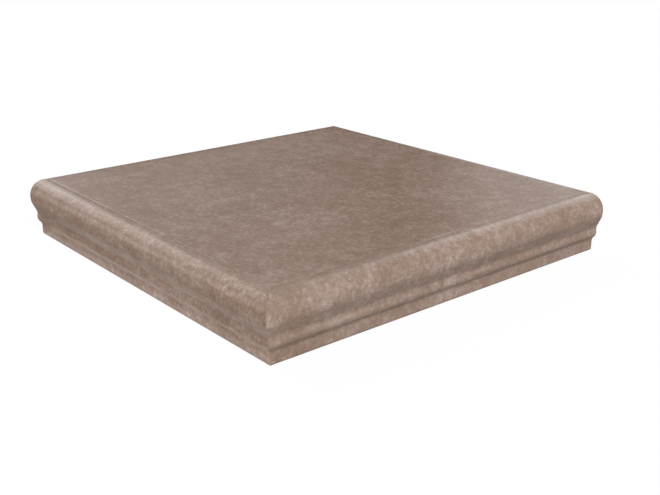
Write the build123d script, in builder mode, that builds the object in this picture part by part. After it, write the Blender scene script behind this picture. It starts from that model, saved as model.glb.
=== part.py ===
"""Corner stair tread tile.

A square porcelain tile with a moulded nosing strip bonded to two of its edges.
The strips meet in a mitre at the outer corner of the step.
Origin: centre of the footprint, at floor level. +Z is up, -Y is the front of the step,
and the second nosing faces +X. Sizes are in millimetres, angles in degrees.
"""

import os

from build123d import *

# Tread tile
tile_side = 300.0
tile_thickness = 9.0
edge_arris = 0.5  # bevel along the two plain top edges
joint_round = 1.2  # rounded top edges of the tile along the two nosings

# Keyed back of the tile
key_pitch = 24.0
key_rib = 4.0
key_margin = 7.5
key_depth = 0.8
key_draft = 30.0

# Nosing section, in order from the joint, over the nose and down to the foot
lip_bevel = 0.3  # bevel on the edge that meets the tile
nosing_land = 3.5  # flat top beside the joint
nose_radius = 11.75
nose_front = 1.5  # upright stretch at the furthest reach of the nose
undercut_angle = 25.0  # how far the underside of the nose leans back
undercut_slope = 6.25
throat_radius = 6.5
bead_rise_angle = 15.0
bead_radius = 5.5
bead_fall_angle = 45.0
bead_slope = 0.9
cove_radius = 4.0
foot_height = 8.1
foot_edge_radius = 2.0


# Section of the nosing: X is outwards from the joint, Y is up from the tread surface.
# Each piece of the outline starts where the one before it ends, in the same direction.
with BuildLine() as moulding:
    land = Line((lip_bevel, 0), (nosing_land, 0))
    nose_top = JernArc(land @ 1, land % 1, nose_radius, -90)
    front = PolarLine(nose_top @ 1, nose_front, direction=nose_top % 1)
    nose_under = JernArc(front @ 1, front % 1, nose_radius, -undercut_angle)
    slope = PolarLine(nose_under @ 1, undercut_slope, direction=nose_under % 1)
    throat = JernArc(slope @ 1, slope % 1, throat_radius, undercut_angle + bead_rise_angle)
    bead = JernArc(throat @ 1, throat % 1, bead_radius, -bead_rise_angle - bead_fall_angle)
    fall = PolarLine(bead @ 1, bead_slope, direction=bead % 1)
    cove = JernArc(fall @ 1, fall % 1, cove_radius, bead_fall_angle)
    foot = PolarLine(cove @ 1, foot_height - foot_edge_radius, direction=cove % 1)
    foot_edge = JernArc(foot @ 1, foot % 1, foot_edge_radius, -90)
    sole = Line(foot_edge @ 1, (0, (foot_edge @ 1).Y))
    back = Line(sole @ 1, (0, -lip_bevel))
    bevel = Line(back @ 1, land @ 0)

# Places that follow from the section
nosing_reach = (front @ 1).X
tread_level = -(sole @ 1).Y
overall = tile_side + nosing_reach
left_edge = -overall / 2
back_edge = overall / 2
side_joint = left_edge + tile_side
front_joint = back_edge - tile_side
tile_back = Plane(
    origin=((left_edge + side_joint) / 2, (back_edge + front_joint) / 2, tread_level - tile_thickness)
)
mitre = Plane(origin=(side_joint, front_joint, 0), z_dir=(1, 1, 0))
key_count = int((tile_side - 2 * key_margin + key_rib) // key_pitch)


# One recess of the keyed back: a shallow square pocket that narrows inwards
with BuildPart() as key_recess:
    with BuildSketch():
        Rectangle(key_pitch - key_rib, key_pitch - key_rib)
    extrude(amount=key_depth, taper=key_draft)


# Tread tile: a flat slab with eased top edges and a keyed back
with BuildPart() as tread_tile:
    with BuildSketch(tile_back):
        Rectangle(tile_side, tile_side)
    extrude(amount=tile_thickness)

    top_edges = faces().sort_by(Axis.Z)[-1].edges()
    front_top = top_edges.sort_by(Axis.Y)[0]
    side_top = top_edges.sort_by(Axis.X)[-1]
    fillet([front_top, side_top], radius=joint_round)

    top_edges = faces().sort_by(Axis.Z)[-1].edges()
    back_top = top_edges.sort_by(Axis.Y)[-1]
    left_top = top_edges.sort_by(Axis.X)[0]
    chamfer([back_top, left_top], length=edge_arris)

    with Locations(tile_back):
        with GridLocations(key_pitch, key_pitch, key_count, key_count):
            add(key_recess.part, mode=Mode.SUBTRACT)


# Front nosing: the section run along the front joint, then cut off at the mitre
with BuildPart() as front_nosing:
    with BuildSketch(
        Plane(origin=(left_edge, front_joint, tread_level), x_dir=(0, -1, 0), z_dir=(-1, 0, 0))
    ):
        add(moulding.line)
        make_face()
    extrude(amount=-overall)
    split(bisect_by=mitre, keep=Keep.BOTTOM)


# Side nosing: the same strip turned over the mitre onto the side joint
with BuildPart() as side_nosing:
    mirror(front_nosing.part, about=mitre)


tread_tile.part.label = "tread_tile"
front_nosing.part.label = "front_nosing"
side_nosing.part.label = "side_nosing"

os.makedirs("parts", exist_ok=True)
export_step(tread_tile.part, "parts/tread_tile.step")
export_step(front_nosing.part, "parts/front_nosing.step")
export_step(side_nosing.part, "parts/side_nosing.step")

print(f"nosing reach {nosing_reach:.2f}, tread level {tread_level:.2f}, overall {overall:.2f}")
print(f"foot thickness {(foot @ 1).X:.2f}, keys per row {key_count}")
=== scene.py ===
# %% [markdown]
# # A corner stair tread in glazed porcelain
#
# This tread covers the outside corner of a step. It is a flat square tile with a moulded nosing
# strip bonded along two of its edges, and the strips meet in a mitre at the corner. The measured
# solids are loaded first and stay fixed. Every piece below is modelled over one of them.

# %% Load the measured frame
import math

import bmesh
import bpy
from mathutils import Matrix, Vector


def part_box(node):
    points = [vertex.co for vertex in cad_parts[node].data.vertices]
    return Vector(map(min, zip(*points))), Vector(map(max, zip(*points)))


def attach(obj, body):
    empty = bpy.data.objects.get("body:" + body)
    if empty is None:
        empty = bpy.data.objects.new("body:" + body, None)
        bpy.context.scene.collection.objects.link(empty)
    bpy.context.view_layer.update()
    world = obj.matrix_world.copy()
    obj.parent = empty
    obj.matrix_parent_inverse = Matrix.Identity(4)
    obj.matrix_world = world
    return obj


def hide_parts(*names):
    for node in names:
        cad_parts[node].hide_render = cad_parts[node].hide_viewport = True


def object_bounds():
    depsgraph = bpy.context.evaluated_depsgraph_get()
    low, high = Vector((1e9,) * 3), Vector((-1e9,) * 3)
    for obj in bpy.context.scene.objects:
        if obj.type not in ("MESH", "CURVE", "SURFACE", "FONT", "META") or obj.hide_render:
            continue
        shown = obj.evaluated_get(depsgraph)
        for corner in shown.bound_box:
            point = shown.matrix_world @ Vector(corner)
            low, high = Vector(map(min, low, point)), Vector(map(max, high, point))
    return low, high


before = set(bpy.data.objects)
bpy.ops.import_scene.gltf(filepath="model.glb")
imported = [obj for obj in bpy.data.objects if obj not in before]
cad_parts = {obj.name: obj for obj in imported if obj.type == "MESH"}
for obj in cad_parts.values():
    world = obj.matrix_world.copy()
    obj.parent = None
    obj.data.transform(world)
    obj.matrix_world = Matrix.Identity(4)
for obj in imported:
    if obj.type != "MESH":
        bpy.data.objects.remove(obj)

cad_low, cad_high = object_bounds()
print("Measured box:", [round(x, 4) for x in cad_high - cad_low])

# %% [markdown]
# ## Where the pieces are
#
# Lengths in Blender are metres, so a millimetre gets a name of its own. The joints between the
# tile and its nosings are read off the tile's box, and nothing is placed by eye.

# %% Read the sizes off the frame
MM = 0.001
tile_low, tile_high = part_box("tread_tile")
tread_level = tile_high.z
front_joint = tile_low.y
side_joint = tile_high.x
left_edge = tile_low.x
back_edge = tile_high.y
corner = Vector((side_joint, front_joint, tread_level))
print("Tile:", [round(x / MM, 1) for x in tile_high - tile_low], "mm")
print("Tread level:", round(tread_level / MM, 1), "mm")

# %% [markdown]
# ## Working by hand, in code
#
# Each operator acts on whatever is selected, as it does under the mouse. These helpers start a
# piece with nothing else selected, and pick vertices, edges or faces by where they are.

# %% Helpers for edit mode
NEAR = 0.02 * MM
WORN_EDGE = 0.12 * MM


def start_clean():
    """Leaves edit mode and drops every selection."""
    if bpy.context.mode != "OBJECT":
        bpy.ops.object.mode_set(mode="OBJECT")
    bpy.ops.object.select_all(action="DESELECT")


def pick(kind, wanted):
    """Selects the verts, edges or faces of the piece in edit mode for which wanted(element) is true."""
    mesh = bmesh.from_edit_mesh(bpy.context.object.data)
    bpy.ops.mesh.select_mode(type={"verts": "VERT", "edges": "EDGE", "faces": "FACE"}[kind])
    bpy.ops.mesh.select_all(action="DESELECT")
    chosen = [element for element in getattr(mesh, kind) if wanted(element)]
    for element in chosen:
        element.select_set(True)
    mesh.select_flush_mode()
    bmesh.update_edit_mesh(bpy.context.object.data)
    return len(chosen)


def round_arrises(piece, width, segments, angle=30):
    """Rounds every sharp edge of a piece a little, as firing and handling do."""
    start_clean()
    bpy.context.view_layer.objects.active = piece
    piece.select_set(True)
    bevel = piece.modifiers.new("arris", "BEVEL")
    bevel.width = width
    bevel.segments = segments
    bevel.limit_method = "ANGLE"
    bevel.angle_limit = math.radians(angle)
    bevel.use_clamp_overlap = True
    bpy.ops.object.modifier_apply(modifier=bevel.name)
    bpy.ops.object.shade_smooth_by_angle(angle=math.radians(angle))


def stand_for(piece, node):
    """Rides a finished piece on the frame in the place of its measured node."""
    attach(piece, "root")
    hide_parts(node)


# %% [markdown]
# ## The tread tile
#
# The tile is pressed from powder and fired flat, then its edges are ground square. A cube at the
# tile's size is the start. The press leaves a grid of shallow keys on the back for the mortar to
# grip, so the slab is cut along the sides of the ribs and each square between them is pushed in.
# A boolean would do it too, but cuts and insets keep clean four-sided faces.

# %% Cut the slab along the ribs of its back
key_pitch = 24 * MM
key_rib = 4 * MM
key_margin = 7.5 * MM
key_depth = 0.8 * MM
key_draft = math.radians(30)
tile_side = tile_high.x - tile_low.x
tile_middle = (tile_low + tile_high) / 2
key_count = int((tile_side - 2 * key_margin + key_rib) // key_pitch)

start_clean()
bpy.ops.mesh.primitive_cube_add(size=1, location=(0, 0, 0))
tile = bpy.context.object
tile.name = tile.data.name = "tile_body"
bpy.ops.object.mode_set(mode="EDIT")
bpy.ops.transform.resize(value=tile_high - tile_low)
bpy.ops.transform.translate(value=tile_middle)
key_centres = [(i - (key_count - 1) / 2) * key_pitch for i in range(key_count)]
key_half = (key_pitch - key_rib) / 2
for centre in key_centres:
    for side in (-key_half, key_half):
        for axis in (Vector((1, 0, 0)), Vector((0, 1, 0))):
            bpy.ops.mesh.select_all(action="SELECT")
            bpy.ops.mesh.bisect(plane_co=tile_middle + axis * (centre + side), plane_no=axis)
print("Keys per row:", key_count)

# %% [markdown]
# The sides of a key slope, so that the pressed tile comes off its stamp. Inset does both at once: it
# shrinks each face by the slope's width and pushes it in by the depth.

# %% Push in the keys


def over_a_key(place):
    """True if a place on the tile's back lies between the ribs."""
    offsets = (place.x - tile_middle.x, place.y - tile_middle.y)
    return all(any(abs(offset - centre) < key_half for centre in key_centres) for offset in offsets)


keys = pick(
    "faces", lambda face: face.normal.z < -0.9 and over_a_key(face.calc_center_median())
)
bpy.ops.mesh.inset(thickness=key_depth * math.tan(key_draft), depth=-key_depth, use_individual=True)
print("Keys pushed in:", keys)

# %% [markdown]
# The press leaves the two top edges along the nosings round, so the joint catches the light as a
# fine bright line. A bevel of eight segments is as good as round here. The two plain edges are only
# eased by a small flat bevel, which keeps them from chipping.

# %% Ease the top edges
joint_round = 1.2 * MM
edge_arris = 0.5 * MM


def on_top_edge(edge, axis, place):
    """True for the edges of the tread surface that lie on one side of the tile."""
    return all(
        abs(vert.co.z - tread_level) < NEAR and abs(vert.co[axis] - place) < NEAR for vert in edge.verts
    )


pick("edges", lambda e: on_top_edge(e, 1, front_joint) or on_top_edge(e, 0, side_joint))
bpy.ops.mesh.bevel(offset=joint_round, offset_type="OFFSET", segments=8, profile=0.5)
pick("edges", lambda e: on_top_edge(e, 1, back_edge) or on_top_edge(e, 0, left_edge))
bpy.ops.mesh.bevel(offset=edge_arris, offset_type="OFFSET", segments=1)
bpy.ops.object.mode_set(mode="OBJECT")
round_arrises(tile, WORN_EDGE, 2)
stand_for(tile, "tread_tile")
print("Tile faces:", len(tile.data.polygons))

# %% [markdown]
# ## The nosing strips
#
# A nosing is pushed through a die as a long wet strip, so its section is the same all along. It
# is drawn here the same way: a flat strip is the land beside the joint, and its outer edge is
# carried on, extruded for each straight run and spun for each round, until it comes back to the
# joint. Runs and rounds meet in one direction, so the surface has no unwanted crease.

# %% Sizes of the nosing section
lip_bevel = 0.3 * MM
nosing_land = 3.5 * MM
nose_radius = 11.75 * MM
nose_front = 1.5 * MM
undercut_angle = 25
undercut_slope = 6.25 * MM
throat_radius = 6.5 * MM
bead_rise_angle = 15
bead_radius = 5.5 * MM
bead_fall_angle = 45
bead_slope = 0.9 * MM
cove_radius = 4 * MM
foot_height = 8.1 * MM
foot_edge_radius = 2 * MM
DEGREES_PER_FACE = 4
STRIP_PIECES = 120
STRIP_SPARE = 30 * MM

# %% [markdown]
# The pen remembers where the moving edge is and which way it heads, so the next run or round starts
# in the right direction. A round's centre lies square to that heading, on the side that it turns to.

# %% Carry an edge along the section


class SectionPen:
    """The moving edge of a strip: where it is in the section and which way it heads."""

    def __init__(self, start, heading):
        self.point = Vector(start)
        self.heading = Vector(heading)

    def run(self, length):
        step = self.heading * length
        bpy.ops.mesh.extrude_edges_move(TRANSFORM_OT_translate={"value": step})
        self.point = self.point + step

    def turn(self, radius, degrees):
        """Positive degrees roll down and under, negative ones hollow out a cove."""
        sense = math.copysign(1, degrees)
        angle = math.radians(degrees)
        inward = Vector((0, -self.heading.z, self.heading.y)) * sense
        centre = self.point + inward * radius
        steps = max(2, math.ceil(abs(degrees) / DEGREES_PER_FACE))
        bpy.ops.mesh.spin(steps=steps, angle=-angle, center=centre, axis=(1, 0, 0))
        heading = self.heading.copy()
        self.heading = heading * math.cos(angle) + Vector((0, -heading.z, heading.y)) * math.sin(angle)
        spoke = (self.point - centre) * math.cos(angle)
        self.point = centre + spoke + heading * radius * math.sin(abs(angle))


# %% [markdown]
# The section is read from the tread surface down: nose, undercut, throat, bead, cove and foot. The
# last runs go along the sole and up the back, and a merge by distance closes the loop.

# %% Draw the section
def draw_strip(name):
    """An uncut strip along the front joint, longer than the tread at both ends."""
    start_clean()
    length = cad_high.x - cad_low.x + 2 * STRIP_SPARE
    width = nosing_land - lip_bevel
    bpy.ops.mesh.primitive_grid_add(
        x_subdivisions=STRIP_PIECES, y_subdivisions=1, size=1, location=(0, 0, 0)
    )
    strip = bpy.context.object
    strip.name = strip.data.name = name
    bpy.ops.object.mode_set(mode="EDIT")
    bpy.ops.transform.resize(value=(length, width, 1))
    bpy.ops.transform.translate(value=(0, front_joint - lip_bevel - width / 2, tread_level))
    outer = front_joint - nosing_land
    pick("edges", lambda e: all(abs(vert.co.y - outer) < NEAR for vert in e.verts))

    pen = SectionPen((0, outer, tread_level), (0, -1, 0))
    pen.turn(nose_radius, 90)
    pen.run(nose_front)
    pen.turn(nose_radius, undercut_angle)
    pen.run(undercut_slope)
    pen.turn(throat_radius, -undercut_angle - bead_rise_angle)
    pen.turn(bead_radius, bead_rise_angle + bead_fall_angle)
    pen.run(bead_slope)
    pen.turn(cove_radius, -bead_fall_angle)
    pen.run(foot_height - foot_edge_radius)
    pen.turn(foot_edge_radius, 90)
    print("Foot reaches", round((front_joint - pen.point.y) / MM, 2), "mm at", round(pen.point.z / MM, 3))
    pen.run(front_joint - pen.point.y)
    pen.heading = Vector((0, 0, 1))
    pen.run(tread_level - lip_bevel - pen.point.z)
    pen.heading = Vector((0, -1, 1))
    pen.run(lip_bevel)
    bpy.ops.mesh.select_all(action="SELECT")
    bpy.ops.mesh.remove_doubles(threshold=NEAR)
    bpy.ops.mesh.normals_make_consistent(inside=False)
    bpy.ops.object.mode_set(mode="OBJECT")
    return strip


# %% [markdown]
# Both strips are the same stock. The second one is turned a quarter round to lie along the side
# joint. Then each is sawn: square at the plain end, and at 45 degrees where they meet.

# %% Saw the strips to length
def saw(strip, place, away):
    """Cuts a strip at a plane, closes the cut and drops what lies on the side of away."""
    start_clean()
    bpy.context.view_layer.objects.active = strip
    bpy.ops.object.mode_set(mode="EDIT")
    bpy.ops.mesh.select_all(action="SELECT")
    bpy.ops.mesh.bisect(plane_co=place, plane_no=away, use_fill=True, clear_outer=True)
    bpy.ops.object.mode_set(mode="OBJECT")


front_strip = draw_strip("front_strip")
side_strip = draw_strip("side_strip")
start_clean()
side_strip.select_set(True)
bpy.context.view_layer.objects.active = side_strip
side_strip.rotation_euler.z = math.radians(90)
bpy.ops.object.transform_apply(location=False, rotation=True, scale=False)

saw(front_strip, (left_edge, 0, 0), (-1, 0, 0))
saw(front_strip, corner, (1, 1, 0))
saw(side_strip, (0, back_edge, 0), (0, 1, 0))
saw(side_strip, corner, (-1, -1, 0))
for strip, node in ((front_strip, "front_nosing"), (side_strip, "side_nosing")):
    round_arrises(strip, WORN_EDGE, 2)
    stand_for(strip, node)
    print(strip.name, "faces:", len(strip.data.polygons))

# %% [markdown]
# ## The glaze
#
# The tread has a satin taupe glaze with a printed stone pattern. Close up it is a fine grain of
# paler and darker dots that drifts into soft clouds, with small pale flecks that gather in places
# and a few pale rings as large as a pea. A picture could be wrapped on, but a pattern made of noise
# has no seams and stays sharp at any distance. All its tones lie on one line, from a dark warm
# brown to a pale grey, so one number, the tone, is worked out first and turned into a colour last.

# %% Helpers for shader nodes
def add_node(tree, kind, sockets=None, **settings):
    """Adds a shader node, sets its options, and fills or links its sockets."""
    node = tree.nodes.new("ShaderNode" + kind)
    for option, value in settings.items():
        setattr(node, option, value)
    for socket, value in (sockets or {}).items():
        if isinstance(value, bpy.types.NodeSocket):
            tree.links.new(value, node.inputs[socket])
        else:
            node.inputs[socket].default_value = value
    return node


def new_finish(name, shift):
    """A new material, with its nodes, its shader and the places that its patterns read."""
    material = bpy.data.materials.new(name)
    material.use_nodes = True
    tree = material.node_tree
    coordinates = add_node(tree, "TexCoord")
    mapping = add_node(tree, "Mapping", {"Vector": coordinates.outputs["Object"], "Location": shift})
    return material, tree, tree.nodes["Principled BSDF"], mapping.outputs["Vector"]


def noise(tree, place, size, detail):
    """Noise from 0 to 1 whose largest blots are about size apart."""
    pattern = add_node(tree, "TexNoise", {"Vector": place, "Scale": 1 / size, "Detail": detail})
    return pattern.outputs["Fac"]


def above(tree, pattern, start, full):
    """0 where a pattern is under start, 1 where it is over full, and smooth between."""
    step = add_node(tree, "MapRange", {"Value": pattern, "From Min": start, "From Max": full})
    step.interpolation_type = "SMOOTHSTEP"
    return step.outputs["Result"]


def calculate(tree, operation, *values):
    """One step of arithmetic."""
    return add_node(tree, "Math", dict(enumerate(values)), operation=operation).outputs["Value"]


def add_up(tree, level, parts):
    """A level with patterns added to it, each times its weight."""
    for pattern, weight in parts:
        level = calculate(tree, "MULTIPLY_ADD", pattern, weight, level)
    return level


def ramp(tree, value, stops):
    """Turns a number into a colour, between stops of (number, colour)."""
    node = add_node(tree, "ValToRGB", {"Fac": value})
    elements = node.color_ramp.elements
    while len(elements) < len(stops):
        elements.new(0.5)
    for element, (position, colour) in zip(elements, stops):
        element.position = position
        element.color = (*colour, 1)
    return node.outputs["Color"]


# %% [markdown]
# The rings come from Voronoi cells. A cell's distance grows from a point that may lie above or
# below the surface, so the surface cuts few of these small balls, and each at another size.

# %% Patterns in the print
RING_SPACING = 36 * MM
RING_RADIUS = 3.6 * MM
TONE_LINE = (0.79, 1.0, 1.24)


def pale_rings(tree, place):
    """Few pale rings with a darker middle."""
    cells = add_node(tree, "TexVoronoi", {"Vector": place, "Scale": 1 / RING_SPACING})
    reach = RING_RADIUS / RING_SPACING
    stops = [(0.35 * reach, 0.45), (0.8 * reach, 1.0), (1.15 * reach, 0.0)]
    return ramp(tree, cells.outputs["Distance"], [(at, (grey, grey, grey)) for at, grey in stops])


def toned(colour, tone):
    """A colour moved along the line of tones: above 0 is paler and greyer, below 0 is darker."""
    return [part * math.exp(tone * line) for part, line in zip(colour, TONE_LINE)]


# %% [markdown]
# Noise of four sizes makes the tone: clouds, mottle, grain and dust, each with a weight that says how
# much it counts. Where a fifth noise is high, the palest grains stand out as flecks. The mottle also
# varies the gloss a little. The grain and the dust raise a faint relief by a bump, because it is far
# too fine to model.

# %% The glaze
DARKEST = -0.42
PALEST = 0.50
CLOUD_SIZE = 55 * MM
MOTTLE_SIZE = 12 * MM
GRAIN_SIZE = 3.0 * MM
DUST_SIZE = 1.0 * MM
GATHER_SIZE = 30 * MM


def glaze(name, colour, shift, speckle):
    """The printed satin glaze. A higher speckle makes the grain and the flecks stronger."""
    material, tree, shader, place = new_finish(name, shift)
    clouds = noise(tree, place, CLOUD_SIZE, 3)
    mottle = noise(tree, place, MOTTLE_SIZE, 3)
    grain = noise(tree, place, GRAIN_SIZE, 2)
    dust = noise(tree, place, DUST_SIZE, 1)
    gathered = above(tree, noise(tree, place, GATHER_SIZE, 2), 0.45, 0.62)
    flecks = calculate(tree, "MULTIPLY", above(tree, grain, 0.56, 0.74), gathered)

    parts = [(clouds, 0.55), (mottle, 0.85), (grain, 0.95 * speckle), (dust, 0.85 * speckle)]
    middle = 0.5 - sum(weight for pattern, weight in parts) / 2
    tone = add_up(tree, middle, parts + [(flecks, 0.1 * speckle), (pale_rings(tree, place), 0.14)])
    paint = ramp(tree, tone, [(0, toned(colour, DARKEST)), (0.5, colour), (1, toned(colour, PALEST))])
    tree.links.new(paint, shader.inputs["Base Color"])
    shader.inputs["Specular IOR Level"].default_value = 0.35

    rough = add_node(tree, "MapRange", {"Value": mottle, "To Min": 0.27, "To Max": 0.30})
    tree.links.new(rough.outputs["Result"], shader.inputs["Roughness"])
    relief = add_up(tree, 0.0, [(grain, 0.7), (dust, 0.3)])
    bump = add_node(tree, "Bump", {"Height": relief, "Distance": 0.05 * MM, "Strength": 0.2})
    tree.links.new(bump.outputs["Normal"], shader.inputs["Normal"])
    return material


# All three pieces carry the same print. The nosings' colours are paler and greyer copies of the tile's,
# the side nosing most: this is painted sheen, standing in for the neutral haze that the light lays on
# their rounds.
tile_glaze = glaze("tile_glaze", (0.284, 0.188, 0.141), (0.31, 0.12, 0.05), 1.05)
front_glaze_painted_sheen = glaze("front_glaze_painted_sheen", (0.302, 0.205, 0.154), (1.7, 0.4, 0.9), 1.1)
side_glaze_painted_sheen = glaze("side_glaze_painted_sheen", (0.305, 0.218, 0.172), (2.9, 1.3, 0.2), 0.85)
print("Glazes:", tile_glaze.name, front_glaze_painted_sheen.name, side_glaze_painted_sheen.name)

# %% [markdown]
# ## The bare body
#
# Only the faces that are seen and walked on are glazed. The ground edges, the sawn ends, the backs
# and the underside show the fired clay itself: paler, dull and finely grained, with dark specks.

# %% The fired body
def fired_body(name, colour, shift):
    """Dull unglazed porcelain with a fine grain and sparse dark specks."""
    material, tree, shader, place = new_finish(name, shift)
    clouds = noise(tree, place, 35 * MM, 3)
    grain = noise(tree, place, 1.6 * MM, 3)
    specks = above(tree, noise(tree, place, 2.4 * MM, 1), 0.66, 0.74)
    tone = add_up(tree, 0.5 - 0.35, [(clouds, 0.3), (grain, 0.4), (specks, -0.3)])
    paint = ramp(tree, tone, [(0, toned(colour, DARKEST)), (0.5, colour), (1, toned(colour, PALEST))])
    tree.links.new(paint, shader.inputs["Base Color"])
    rough = add_node(tree, "MapRange", {"Value": grain, "To Min": 0.72, "To Max": 0.92})
    tree.links.new(rough.outputs["Result"], shader.inputs["Roughness"])
    bump = add_node(tree, "Bump", {"Height": grain, "Distance": 0.1 * MM, "Strength": 0.5})
    tree.links.new(bump.outputs["Normal"], shader.inputs["Normal"])
    return material


body = fired_body("fired_body", (0.36, 0.285, 0.235), (0.7, 0.2, 0.4))
print("Bare finish:", body.name)

# %% [markdown]
# Each piece has two material slots. The glaze covers all of it first. Then the bare faces are
# picked by the way they face and given the second slot, as with the Assign button.

# %% Glaze the pieces
def finish_piece(piece, coat, is_bare):
    """Glazes a piece, apart from the faces that stay bare."""
    start_clean()
    piece.data.materials.clear()
    piece.data.materials.append(coat)
    piece.data.materials.append(body)
    bpy.context.view_layer.objects.active = piece
    piece.select_set(True)
    bpy.ops.object.mode_set(mode="EDIT")
    bare = pick("faces", is_bare)
    piece.active_material_index = 1
    bpy.ops.object.material_slot_assign()
    bpy.ops.object.mode_set(mode="OBJECT")
    print(piece.name, "bare faces:", bare, "of", len(piece.data.polygons))


SOLE_HEIGHT = 1 * MM


def strip_is_bare(face, outward, along):
    """True for a strip's back, its sawn ends and its sole."""
    sole = face.normal.z < -0.95 and face.calc_center_median().z < SOLE_HEIGHT
    back = face.normal.dot(outward) < -0.9
    end = abs(face.normal.dot(along)) > 0.6
    return back or end or sole


x_way = Vector((1, 0, 0))
y_way = Vector((0, 1, 0))
finish_piece(tile, tile_glaze, lambda face: face.normal.z < 0.3)
finish_piece(front_strip, front_glaze_painted_sheen, lambda face: strip_is_bare(face, -y_way, x_way))
finish_piece(side_strip, side_glaze_painted_sheen, lambda face: strip_is_bare(face, x_way, y_way))

# %% [markdown]
# ## The camera
#
# The camera looks down at the corner from 20 degrees above the floor. Its place and its lens belong
# together: nearer, with a wider lens, the far edges would look shorter beside the near ones. It is
# aimed by turning its -Z axis at a point.

# %% Camera
LENS = 51.87
camera_place = Vector((550.3, -440.0, 251.0)) * MM
camera_aim = Vector((16.3, 7.1, 0.0)) * MM
start_clean()
bpy.ops.object.camera_add(location=camera_place)
camera = bpy.context.object
camera.name = "camera"
camera.data.lens = LENS
camera.data.sensor_width = 36
camera.rotation_euler = (camera_aim - camera_place).to_track_quat("-Z", "Y").to_euler()
bpy.context.scene.camera = camera
print("Camera distance:", round((camera_aim - camera_place).length, 3), "m")

# %% [markdown]
# ## The floor
#
# A pale floor reaches so far that it fills the background. To the camera it is mostly a plain white
# sheet, with a share of the lit paper left in, so a soft shadow still shows. In the glaze it shows
# only as a dim sheet, or the hollows of the mouldings would shine. To all other light it is paper:
# a pale card lies in front of the front nosing and throws light up under its mouldings, and the
# rest of the floor is greyer, which keeps the hollows of the side nosing dark.

# %% Floor and card
FLOOR_SIZE = 160
CARD_SIZE = 1.2
card_place = (-0.1, -0.7504, 0.3 * MM)
SHEET_LEVEL = 1.26
SHEET_SHARE = 0.75


def lay_paper(name, size, place, grey, in_gloss):
    """A square of paper on the floor, white to the camera."""
    start_clean()
    bpy.ops.mesh.primitive_plane_add(size=size, location=(0, 0, 0))
    sheet = bpy.context.object
    sheet.name = sheet.data.name = name
    bpy.ops.object.mode_set(mode="EDIT")
    bpy.ops.transform.translate(value=place)
    bpy.ops.object.mode_set(mode="OBJECT")
    paper = bpy.data.materials.new(name + "_paper")
    paper.use_nodes = True
    tree = paper.node_tree
    tree.nodes.remove(tree.nodes["Principled BSDF"])
    ray = add_node(tree, "LightPath").outputs
    direct = calculate(tree, "MAXIMUM", ray["Is Camera Ray"], ray["Is Transmission Ray"])
    share = add_up(tree, 0.0, [(direct, SHEET_SHARE), (ray["Is Glossy Ray"], 1.0)])
    level = add_up(tree, 0.0, [(direct, SHEET_LEVEL), (ray["Is Glossy Ray"], in_gloss)])
    lit = add_node(tree, "BsdfDiffuse", {"Color": (grey, grey, grey, 1)})
    white = add_node(tree, "Emission", {"Strength": level})
    both = add_node(tree, "MixShader", {0: share, 1: lit.outputs[0], 2: white.outputs[0]})
    tree.links.new(both.outputs[0], tree.nodes["Material Output"].inputs["Surface"])
    sheet.data.materials.append(paper)
    print(name, size, "m, grey", grey)


lay_paper("floor", FLOOR_SIZE, (0, 0, 0), 0.25, 0.14)
lay_paper("card", CARD_SIZE, card_place, 0.7, 0.15)

# %% [markdown]
# ## The light
#
# The lamps are suns with a wide disc, like softboxes far away: they give the same soft light at
# both ends of the tread. Most of the light comes from the right and the front, low down, and one
# lamp on the right stands high. These three are hidden from reflections, so that the tread doesn't
# glare when it is seen from behind. Weaker lamps behind and on the left are there for what the glaze
# reflects: the sheen on the far corner of the tile and the bright line along the front nosing.
# A dim even world fills the shadows, and is white only where the camera looks straight at it. All
# together light a level surface to about 1, so that colours come out about as they are written.
# Each row gives a lamp's height and its way round in degrees, the width of its disc, its level and
# whether reflections show it.

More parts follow.
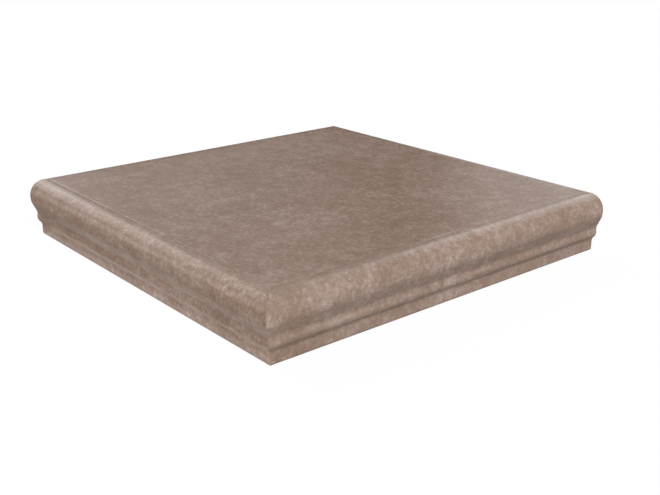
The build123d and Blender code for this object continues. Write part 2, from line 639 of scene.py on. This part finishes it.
# %% Lamps and world
WORLD_LEVEL = 0.08
lamps = {
    "front_lamp": (10, 40, 40, 0.64, False),
    "right_lamp": (10, 90, 40, 0.34, False),
    "high_lamp": (52, 90, 40, 0.52, False),
    "low_left_lamp": (10, 315, 40, 0.181, True),
    "left_lamp": (36, 278, 36, 0.177, True),
    "far_left_lamp": (18, 258, 20, 0.044, True),
    "back_left_lamp": (30, 247.5, 40, 0.052, True),
    "back_lamp": (31, 197, 36, 0.167, True),
    "low_back_lamp": (10, 202.5, 40, 0.069, True),
}
for name, (height, way_round, width, level, shines) in lamps.items():
    tilt = (math.radians(90 - height), 0, math.radians(way_round))
    bpy.ops.object.light_add(type="SUN", rotation=tilt)
    lamp = bpy.context.object
    lamp.name = name
    lamp.data.angle = math.radians(width)
    lamp.data.energy = math.pi * level
    lamp.visible_glossy = shines
world = bpy.data.worlds.new("studio")
world.use_nodes = True
sky = world.node_tree.nodes["Background"]
sky.inputs["Color"].default_value = (1, 1, 1, 1)
ray = add_node(world.node_tree, "LightPath").outputs
direct = calculate(world.node_tree, "MAXIMUM", ray["Is Camera Ray"], ray["Is Transmission Ray"])
strength = calculate(world.node_tree, "MAXIMUM", direct, WORLD_LEVEL)
world.node_tree.links.new(strength, sky.inputs["Strength"])
bpy.context.scene.world = world
bpy.context.scene.view_settings.view_transform = "Standard"
facing_up = sum(math.sin(math.radians(row[0])) * row[3] for row in lamps.values())
print("Light on a level surface:", round(facing_up + WORLD_LEVEL, 3))

# %% [markdown]
# A thin strip light lies on the floor along the foot of the front nosing and shines up. It reaches
# little but the underside of the bead and the foot, and draws the bright line under the bead.
# A sheet of level 1 looks white, so the energy is that level times pi times the strip's area.

# %% Strip light
STRIP_LENGTH = 315 * MM
STRIP_WIDTH = 4.3 * MM
STRIP_LEVEL = 0.8
strip_place = Vector((0, -153.7, 0.5)) * MM
bpy.ops.object.light_add(type="AREA", location=strip_place, rotation=(math.pi, 0, 0))
strip = bpy.context.object
strip.name = "strip_lamp"
strip.data.shape = "RECTANGLE"
strip.data.size = STRIP_LENGTH
strip.data.size_y = STRIP_WIDTH
strip.data.energy = math.pi * STRIP_LEVEL * STRIP_LENGTH * STRIP_WIDTH
print("Strip light:", round(strip.data.energy, 5), "W")
